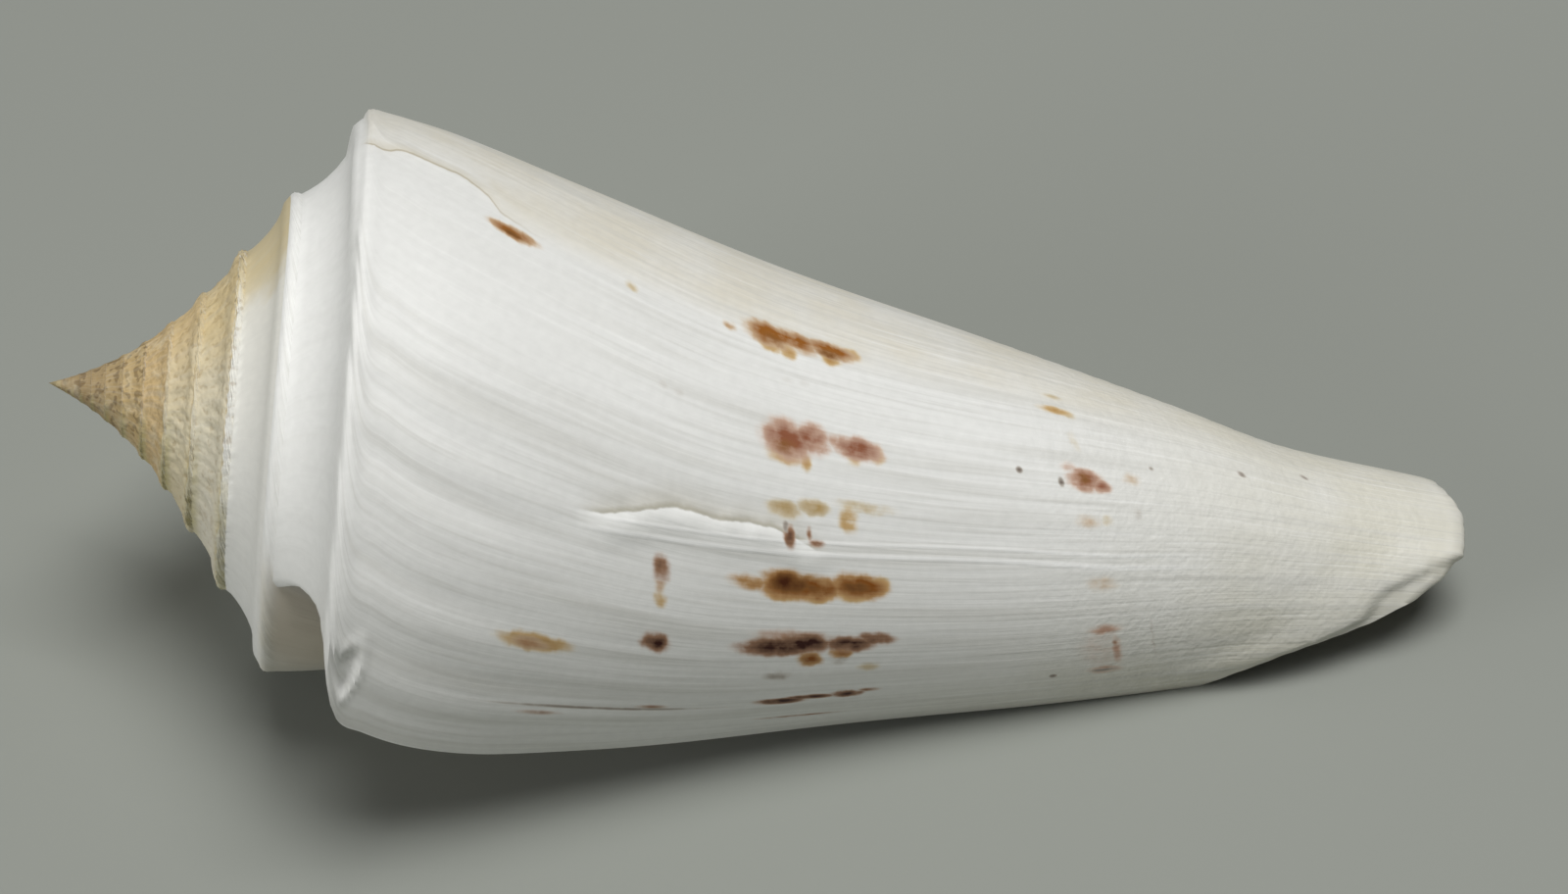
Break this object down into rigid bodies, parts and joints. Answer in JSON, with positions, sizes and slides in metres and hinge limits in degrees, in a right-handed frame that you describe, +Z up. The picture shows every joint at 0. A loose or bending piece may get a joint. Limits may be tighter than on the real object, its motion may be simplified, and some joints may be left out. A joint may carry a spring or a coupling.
{
  "type": "cone shell",
  "caption": "Empty cone shell with a tall stepped spire, a sharp shoulder, a long tapering last turn and a slit opening, lying on its opening.",
  "frame": {"origin": "middle of the part's box, on the floor that the shell lies on", "axes": "+X along the shell towards its front end, -Y towards the outer lip, +Z up"},
  "size_m": [0.0742, 0.0344, 0.0307],
  "materials": {
    "shell": "satin white to cream shell with tan spire and brown blotches in bands"
  },
  "bodies": {
    "root": {"shell": "shell"}
  },
  "joints": []
}
